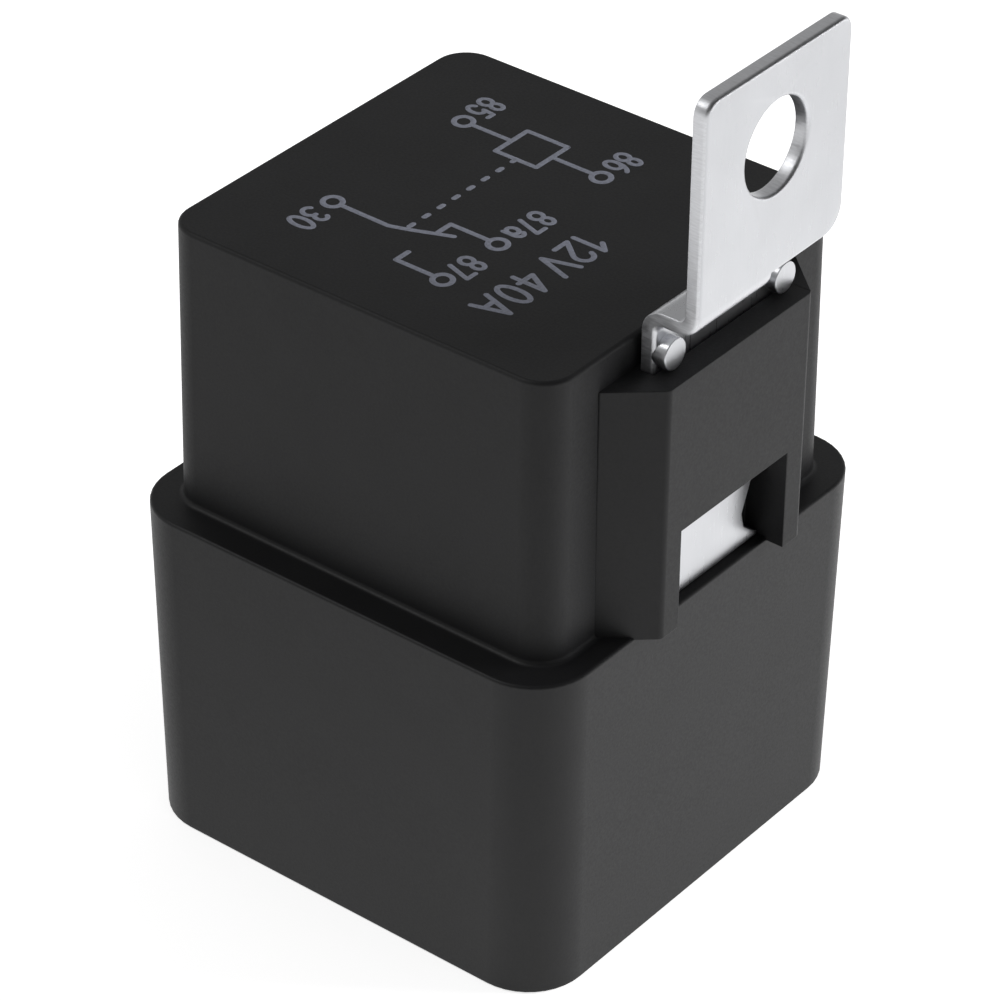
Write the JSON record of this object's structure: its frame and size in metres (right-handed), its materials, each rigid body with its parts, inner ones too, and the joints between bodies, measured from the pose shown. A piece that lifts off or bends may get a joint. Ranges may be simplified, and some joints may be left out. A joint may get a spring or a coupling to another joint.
{
  "type": "automotive relay",
  "caption": "Skirted plug-in automotive relay with blade terminals, a changeover contact inside and a steel fixing bracket clipped into a pocket of its cover.",
  "frame": {"origin": "centre of the skirt's rim, in the plane the rim's lower edge lies in", "axes": "+Z from the rim to the roof of the cover, +X towards the fixing bracket, Y along the bracket's width"},
  "size_m": [0.0328, 0.0306, 0.0552],
  "materials": {
    "black_pbt": "black glass-filled plastic, fine matt grain from the mould",
    "plated_steel": "bright zinc or nickel plated steel sheet, smooth rolled surface",
    "black_base": "black moulded plastic, satin",
    "epoxy": "black casting resin, slightly wavy and glossy",
    "tinned_brass": "tinned brass strip, satin",
    "relay_iron": "nickel plated soft iron, dull",
    "bobbin_nylon": "natural nylon",
    "enamelled_wire": "varnished copper wire",
    "coil_tape": "yellow polyester tape",
    "tinned_pin": "tinned wire, dull",
    "copper_strip": "bare copper alloy strip, satin",
    "contact_silver": "silver alloy, turned and polished",
    "rivet_brass": "bare brass, satin",
    "spring_steel": "drawn spring wire",
    "copper_braid": "plaited bare copper wire"
  },
  "bodies": {
    "relay": {"cover": "black_pbt", "bracket": "plated_steel", "base": "black_base", "epoxy_seal": "epoxy", "terminal_30": "tinned_brass", "terminal_85": "tinned_brass", "terminal_86": "tinned_brass", "terminal_87": "tinned_brass", "terminal_87a": "tinned_brass", "yoke": "relay_iron", "core": "relay_iron", "bobbin": "bobbin_nylon", "coil_winding": "enamelled_wire", "coil_tape": "coil_tape", "coil_pin_85": "tinned_pin", "coil_pin_86": "tinned_pin", "coil_lead_85": "enamelled_wire", "coil_lead_86": "enamelled_wire", "make_strip": "copper_strip", "break_strip": "copper_strip", "make_contact": "contact_silver", "break_contact": "contact_silver", "return_spring": "spring_steel", "flexible_braid": "copper_braid"},
    "armature": {"armature": "relay_iron", "contact_leaf": "copper_strip", "moving_contact": "contact_silver", "leaf_rivets": "rivet_brass"}
  },
  "joints": [
    {"name": "armature_hinge", "type": "hinge", "parent": "relay", "child": "armature", "pos_m": [-0.0096, 0, 0.0327], "axis": [0, 1, 0], "range_deg": [0, 3.1], "stiffness_Nm_per_rad": 0.004, "springref_deg": -34.38, "deforming": ["return_spring", "flexible_braid"]}
  ]
}
